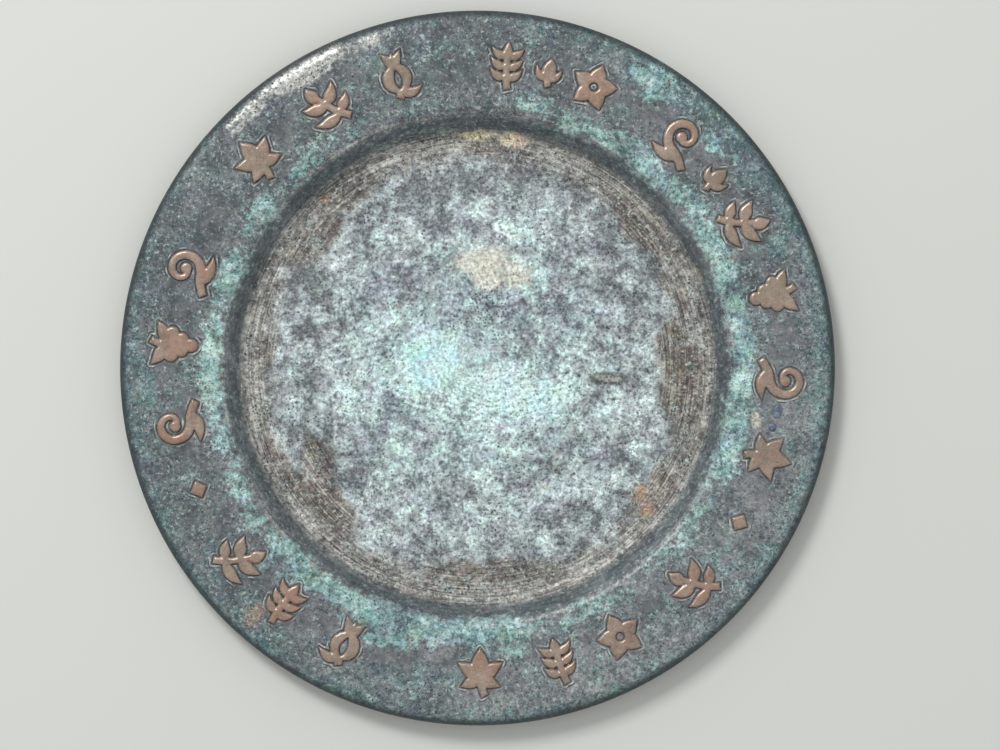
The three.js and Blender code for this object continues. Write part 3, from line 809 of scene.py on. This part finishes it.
def tarnished_solder():
    """Soft solder, tin and lead, melted into drops and gone blue-grey."""
    material, tree, place = new_material("tarnished_solder")
    level = octaves(tree, place, [(4, 2, 1.0), (0.8, 2, 1.0)])
    colour = add(tree, "ShaderNodeValToRGB", {"Fac": level}, SOLDER_TONES)
    normal = add(tree, "ShaderNodeBump", {"Height": level, "Distance": 0.06 * MM, "Strength": 0.6})
    finish(tree, colour, 0.25, 0.45, normal)
    return material


def studio_floor(colour):
    """A plain pale matt floor."""
    material, tree, _ = new_material("studio_floor")
    shader = add(tree, "ShaderNodeBsdfPrincipled", {"Base Color": (*colour, 1.0), "Roughness": 0.9})
    add(tree, "ShaderNodeOutputMaterial", {"Surface": shader})
    return material


# The rim's unevenness: the radius where it begins, how far it takes to be full, and its two waves
UNEVEN_FROM = 100 * MM
UNEVEN_RISE = 8 * MM
LONG_WAVE = 34 * MM
SHORT_WAVE = 11 * MM


def rim_unevenness(x, y, amount):
    """How far hand work leaves the rim above or below true at a place, in metres."""
    radius = math.hypot(x, y)
    onto_rim = min(max((radius - UNEVEN_FROM) / UNEVEN_RISE, 0), 1)
    long_wave = noise.noise(Vector((x, y, 0)) / LONG_WAVE)
    short_wave = noise.noise(Vector((x, y, 1)) / SHORT_WAVE)
    return amount * onto_rim * (long_wave + 0.35 * short_wave)


def dish_corners(dish):
    """Corners of the middle line, from the axis to the lip's edge: radius, height and bend radius."""
    low = dish.sheet / 2
    high = RIM_TOP - dish.sheet / 2
    lip = PLATE_RADIUS - dish.sheet / 2
    lean = math.atan2(high - low, dish.wall_run)
    ring_inner = dish.well - dish.bend * math.tan(lean / 2) - dish.standing_ring
    return [
        (0.0, low + dish.base_rise, 0.0),
        (ring_inner - dish.base_ramp, low + dish.base_rise, dish.base_bend),
        (ring_inner, low, dish.base_bend),
        (dish.well, low, dish.bend),
        (dish.well + dish.wall_run, high, dish.bend),
        (lip, high, dish.lip_bend),
        (lip, high - dish.lip_bend - dish.lip_straight, 0.0),
    ]


def round_corner(bm, corner, bend, segments=10):
    """Rounds a corner of a wire to its bend radius."""
    one, other = (edge.other_vert(corner).co - corner.co for edge in corner.link_edges)
    turn = math.pi - one.angle(other)
    bmesh.ops.bevel(
        bm,
        geom=[corner],
        offset=bend * math.tan(turn / 2),
        offset_type="OFFSET",
        segments=segments,
        profile=0.5,
        affect="VERTICES",
        material=-1,
    )


def new_piece(name, mesh, materials):
    """An object for a mesh, smooth-shaded, with its materials, at the origin."""
    mesh.name = name
    mesh.shade_smooth()
    for material in materials:
        mesh.materials.append(material)
    piece = bpy.data.objects.new(name, mesh)
    bpy.context.scene.collection.objects.link(piece)
    return piece


def mesh_from(bm):
    """The bmesh as a new mesh. The bmesh is freed."""
    mesh = bpy.data.meshes.new("piece")
    bm.to_mesh(mesh)
    bm.free()
    return mesh


# Longest edge across the dish's section, and how close two corners are to be one
MESH_STEP = 1.6 * MM
SAME_PLACE = 0.01 * MM


class PLATE_OT_dish(bpy.types.Operator):
    """Spins the copper dish and lays its patina on"""

    bl_idname = "plate.dish"
    bl_label = "Dish"

    def execute(self, context):
        dish = context.scene.plate.dish
        bm = bmesh.new()
        corners = dish_corners(dish)
        wire = [bm.verts.new((radius, 0, height)) for radius, height, _ in corners]
        for one, other in zip(wire, wire[1:]):
            bm.edges.new((one, other))
        for corner, (_, _, bend) in zip(wire[1:-1], corners[1:-1]):
            round_corner(bm, corner, bend)
        for edge in list(bm.edges):
            cuts = math.ceil(edge.calc_length() / MESH_STEP) - 1
            if cuts > 0:
                bmesh.ops.subdivide_edges(bm, edges=[edge], cuts=cuts)
        bmesh.ops.spin(
            bm,
            geom=bm.verts[:] + bm.edges[:],
            cent=(0, 0, 0),
            axis=(0, 0, 1),
            angle=2 * math.pi,
            steps=dish.steps,
            use_merge=True,
        )
        bmesh.ops.remove_doubles(bm, verts=bm.verts, dist=SAME_PLACE)
        bmesh.ops.recalc_face_normals(bm, faces=bm.faces)
        bm.faces.ensure_lookup_table()
        middle = min(bm.faces, key=lambda face: face.calc_center_median().xy.length)
        if middle.normal.z < 0:
            bmesh.ops.reverse_faces(bm, faces=bm.faces)
        for vert in bm.verts:
            vert.co.z += rim_unevenness(vert.co.x, vert.co.y, dish.wave)
        piece = new_piece("spun_dish", mesh_from(bm), [patinated_copper(), underside_copper()])
        wall = piece.modifiers.new("sheet", "SOLIDIFY")
        wall.thickness = dish.sheet
        wall.offset = 0
        wall.use_even_offset = True
        wall.material_offset = 1
        wall.material_offset_rim = 1
        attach(piece, "root")
        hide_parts("plate")
        return {"FINISHED"}


def merged_copy(name):
    """A CAD node's mesh as a bmesh, its loose triangles merged."""
    bm = bmesh.new()
    bm.from_mesh(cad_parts[name].data)
    bmesh.ops.remove_doubles(bm, verts=bm.verts, dist=0.001 * MM)
    return bm


# How many times taller an ornament is drawn to find its outline
TALL = 40


def outline_tree(name):
    """An ornament drawn out tall, so that the nearest face to a point at its mid height is its sawn edge."""
    bm = merged_copy(name)
    middle = (RIM_TOP + ORNAMENT_TOP) / 2
    to_middle = Matrix.Translation((0, 0, -middle))
    bmesh.ops.scale(bm, vec=(1, 1, TALL), space=to_middle, verts=bm.verts)
    tree = BVHTree.FromBMesh(bm)
    bm.free()
    return tree


def beyond_outline(tree, x, y):
    """How far a point lies outside an ornament's outline, less than 0 inside it, in metres."""
    point = Vector((x, y, (RIM_TOP + ORNAMENT_TOP) / 2))
    distance = tree.find_nearest(point)[3]
    roofed = tree.ray_cast(point, Vector((0, 0, 1)))[0] is not None
    return -distance if roofed else distance


def remeshed(mesh, voxel):
    """The mesh rebuilt in even faces."""
    holder = bpy.data.objects.new("holder", mesh)
    bpy.context.scene.collection.objects.link(holder)
    remesh = holder.modifiers.new("remesh", "REMESH")
    remesh.mode = "VOXEL"
    remesh.voxel_size = voxel
    graph = bpy.context.evaluated_depsgraph_get()
    rebuilt = bpy.data.meshes.new_from_object(holder.evaluated_get(graph))
    bpy.data.objects.remove(holder)
    bpy.data.meshes.remove(mesh)
    return rebuilt


# An ornament's wear: rounds of smoothing, how far in its edge is dark, and the waves of the saw's stray,
# with their seed. Without one, the noise's vectors are seeded by the clock.
SMOOTHING_ROUNDS = 9
EDGE_REACH = 1 * MM
STRAY_WAVE = 3 * MM
STRAY_UP = 0.25
STRAY_SEED = 1


def worn_ornament(name, ornaments, material):
    """The sawn ornament with its edges softened by wear."""
    outline = outline_tree(name)
    mesh = remeshed(mesh_from(merged_copy(name)), ornaments.voxel)
    bm = bmesh.new()
    bm.from_mesh(mesh)
    for _ in range(SMOOTHING_ROUNDS):
        bmesh.ops.smooth_vert(
            bm, verts=bm.verts, factor=0.5, use_axis_x=True, use_axis_y=True, use_axis_z=True
        )
    inset = bm.verts.layers.float.new("inset")
    for vert in bm.verts:
        inside = -beyond_outline(outline, vert.co.x, vert.co.y)
        vert[inset] = min(max(inside / EDGE_REACH, 0), 1)
        slope = 1 - min(max(inside / ornaments.bevel, 0), 1)
        vert.co.z -= max(vert.co.z - RIM_TOP, 0) * ornaments.bevel_drop * slope**2
        stray = noise.noise_vector(Vector((vert.co.x, vert.co.y, 0)) / STRAY_WAVE)
        vert.co.x += ornaments.wobble * stray.x
        vert.co.y += ornaments.wobble * stray.y
        vert.co.z += STRAY_UP * ornaments.wobble * stray.z
    bm.to_mesh(mesh)
    bm.free()
    return new_piece("worn_" + name, mesh, [material])


# The solder beside an ornament in mm: how far in it begins, where its ridge runs and how that sways, the
# ridge's width, how far past it the dark seam runs, the seam's width and strength, the skirt's height and
# reach, the crevice's width and depth, where the bed sinks away, and how far round the metal is clean
SOLDER_INNER = 0.8
RIDGE_AT = 0.95
RIDGE_SWAY = 0.4
RIDGE_WIDTH = 0.24
SEAM_OUT = 0.55
SEAM_WIDTH = 0.34
SEAM_STRENGTH = 1.15
SKIRT_HEIGHT = 0.05
SKIRT_REACH = 1.2
CREVICE_WIDTH = 0.12
CREVICE_DEPTH = 0.1
SINK_FROM = 1.6
SINK_SLOPE = 0.06
HALO_REACH = 2.4
BED_DEPTH = 0.5


def solder_bed(name, ornaments, wave, material):
    """The solder that crept out from under an ornament: a crevice, a broken ridge, then nothing."""
    outline = outline_tree(name)
    low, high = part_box(name)
    middle = (low + high) / 2
    half = (high - low) / 2 + Vector((1, 1, 0)) * ornaments.margin
    bm = bmesh.new()
    onto_rim = Matrix.Translation((middle.x, middle.y, RIM_TOP))
    bmesh.ops.create_grid(
        bm,
        x_segments=math.ceil(2 * half.x / ornaments.pitch),
        y_segments=math.ceil(2 * half.y / ornaments.pitch),
        size=1,
        matrix=onto_rim @ Matrix.Diagonal((half.x, half.y, 1, 1)),
    )
    halo = bm.verts.layers.float.new("halo")
    solder = bm.verts.layers.float.new("solder")
    spare = []
    for vert in bm.verts:
        beyond = beyond_outline(outline, vert.co.x, vert.co.y) / MM
        if not -SOLDER_INNER < beyond < ornaments.margin / MM:
            spare.append(vert)
            continue
        place = Vector((vert.co.x, vert.co.y, 0)) / MM
        strength = min(max(0.3 + 2.6 * noise.noise(place / 4), 0), 1)
        ridge_at = RIDGE_AT + RIDGE_SWAY * noise.noise(place / 3 + Vector((7, 0, 0)))
        ridge = strength * math.exp(-(((beyond - ridge_at) / RIDGE_WIDTH) ** 2))
        seam_off = (beyond - ridge_at - SEAM_OUT) / SEAM_WIDTH
        seam = SEAM_STRENGTH * strength * math.exp(-(seam_off**2))
        skirt = SKIRT_HEIGHT * math.exp(-max(beyond, 0) / SKIRT_REACH)
        sunk = SINK_SLOPE * max(beyond - SINK_FROM, 0)
        sunk += CREVICE_DEPTH if beyond < CREVICE_WIDTH else 0
        vert[solder] = min(ridge * (0.5 + 1.5 * abs(noise.noise(place / 1.1))), 1)
        vert[halo] = min(max(1 - beyond / HALO_REACH, seam, 0), 1)
        vert.co.z += rim_unevenness(vert.co.x, vert.co.y, wave)
        vert.co.z += ridge * ornaments.ridge + (skirt - sunk) * MM
    bmesh.ops.delete(bm, geom=spare, context="VERTS")
    bmesh.ops.recalc_face_normals(bm, faces=bm.faces)
    if sum(face.normal.z for face in bm.faces) < 0:
        bmesh.ops.reverse_faces(bm, faces=bm.faces)
    bmesh.ops.solidify(bm, geom=bm.faces[:], thickness=BED_DEPTH * MM)
    return new_piece("solder_bed_" + name, mesh_from(bm), [material])


class PLATE_OT_ornaments(bpy.types.Operator):
    """Wears the sawn ornaments and beds them in solder"""

    bl_idname = "plate.ornaments"
    bl_label = "Ornaments"

    def execute(self, context):
        settings = context.scene.plate
        copper = rubbed_copper()
        crust = bpy.data.objects["spun_dish"].data.materials[0]
        noise.seed_set(STRAY_SEED)
        for name in ORNAMENTS:
            ornament = worn_ornament(name, settings.ornaments, copper)
            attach(ornament, "root")
            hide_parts(name)
            bed = solder_bed(name, settings.ornaments, settings.dish.wave, crust)
            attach(bed, "root")
        return {"FINISHED"}


# Drops of solder on the rim: x, y, length and width in mm, turn
DROPS = [(119.5, -17.3, 6.0, 3.8, 75), (117.5, -23.5, 3.6, 3.2, 0)]
DROP_HEIGHT = 0.8 * MM
LUMP_SIZE = 2 * MM


class PLATE_OT_drops(bpy.types.Operator):
    """Lets a few drops of solder fall on the rim"""

    bl_idname = "plate.drops"
    bl_label = "Solder drops"

    def execute(self, context):
        tin = tarnished_solder()
        for number, (x, y, length, width, turn) in enumerate(DROPS, start=1):
            bm = bmesh.new()
            bmesh.ops.create_icosphere(bm, subdivisions=4, radius=1)
            size = Matrix.Diagonal((length / 2 * MM, width / 2 * MM, DROP_HEIGHT, 1))
            place = Matrix.Translation((x * MM, y * MM, RIM_TOP))
            bmesh.ops.transform(
                bm, matrix=place @ Matrix.Rotation(math.radians(turn), 4, "Z") @ size, verts=bm.verts
            )
            for vert in bm.verts:
                lump = noise.noise(vert.co / LUMP_SIZE)
                vert.co.x += 0.35 * MM * lump
                vert.co.z += 0.15 * MM * lump
            drop = new_piece(f"solder_drop_{number}", mesh_from(bm), [tin])
            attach(drop, "root")
        return {"FINISHED"}


# The floor is a hair lower than the standing ring, so that the two don't share a plane
FLOOR_GAP = 0.05 * MM
FLOOR_HALF = 3


class PLATE_OT_stage(bpy.types.Operator):
    """Sets the floor, the lamp, the sky light and the camera over the plate"""

    bl_idname = "plate.stage"
    bl_label = "Stage"

    def execute(self, context):
        stage = context.scene.plate.stage
        bm = bmesh.new()
        below = Matrix.Translation((0, 0, -FLOOR_GAP))
        bmesh.ops.create_grid(bm, x_segments=1, y_segments=1, size=FLOOR_HALF, matrix=below)
        floor = new_piece("floor", mesh_from(bm), [studio_floor(stage.floor_colour)])

        world = bpy.data.worlds.new("studio")
        world.use_nodes = True
        sky = world.node_tree.nodes["Background"]
        sky.inputs["Color"].default_value = (1, 1, 1, 1)
        sky.inputs["Strength"].default_value = 1 - stage.key_share
        context.scene.world = world

        lean, bearing = stage.lamp_lean, stage.lamp_bearing
        towards = Vector(
            (math.sin(lean) * math.cos(bearing), math.sin(lean) * math.sin(bearing), math.cos(lean))
        )
        lamp = bpy.data.lights.new("softbox", "AREA")
        lamp.size = stage.lamp_size
        # A flat lamp's power for the floor light that it should give, by the cosine law
        lamp.energy = stage.key_share * math.pi**2 * stage.lamp_distance**2 / math.cos(lean)
        softbox = bpy.data.objects.new("softbox", lamp)
        softbox.location = towards * stage.lamp_distance
        softbox.rotation_euler = towards.to_track_quat("Z", "Y").to_euler()
        context.scene.collection.objects.link(softbox)

        camera = bpy.data.objects.new("camera", bpy.data.cameras.new("camera"))
        camera.location = stage.eye
        camera.data.lens = stage.lens
        camera.data.clip_start = 0.01
        context.scene.collection.objects.link(camera)
        context.scene.camera = camera
        context.scene.view_settings.view_transform = "Standard"
        return {"FINISHED"}


class PLATE_PT_panel(bpy.types.Panel):
    """Lists the plate's pieces in the sidebar"""

    bl_label = "Havdalah plate"
    bl_idname = "PLATE_PT_panel"
    bl_space_type = "VIEW_3D"
    bl_region_type = "UI"
    bl_category = "Plate"

    def draw(self, context):
        settings = context.scene.plate
        for operator in OPERATORS:
            self.layout.operator(operator.bl_idname)
        for group in (settings.dish, settings.ornaments, settings.stage):
            box = self.layout.box()
            for name in group.__annotations__:
                box.prop(group, name)


OPERATORS = (PLATE_OT_dish, PLATE_OT_ornaments, PLATE_OT_drops, PLATE_OT_stage)
CLASSES = (DishSizes, OrnamentSizes, StageSizes, PlateSettings, *OPERATORS, PLATE_PT_panel)


def register():
    for kind in CLASSES:
        bpy.utils.register_class(kind)
    bpy.types.Scene.plate = PointerProperty(type=PlateSettings)


def unregister():
    del bpy.types.Scene.plate
    for kind in reversed(CLASSES):
        bpy.utils.unregister_class(kind)


def main():
    register()
    bpy.ops.plate.dish()
    bpy.ops.plate.ornaments()
    bpy.ops.plate.drops()
    bpy.ops.plate.stage()


if __name__ == "__main__":
    main()
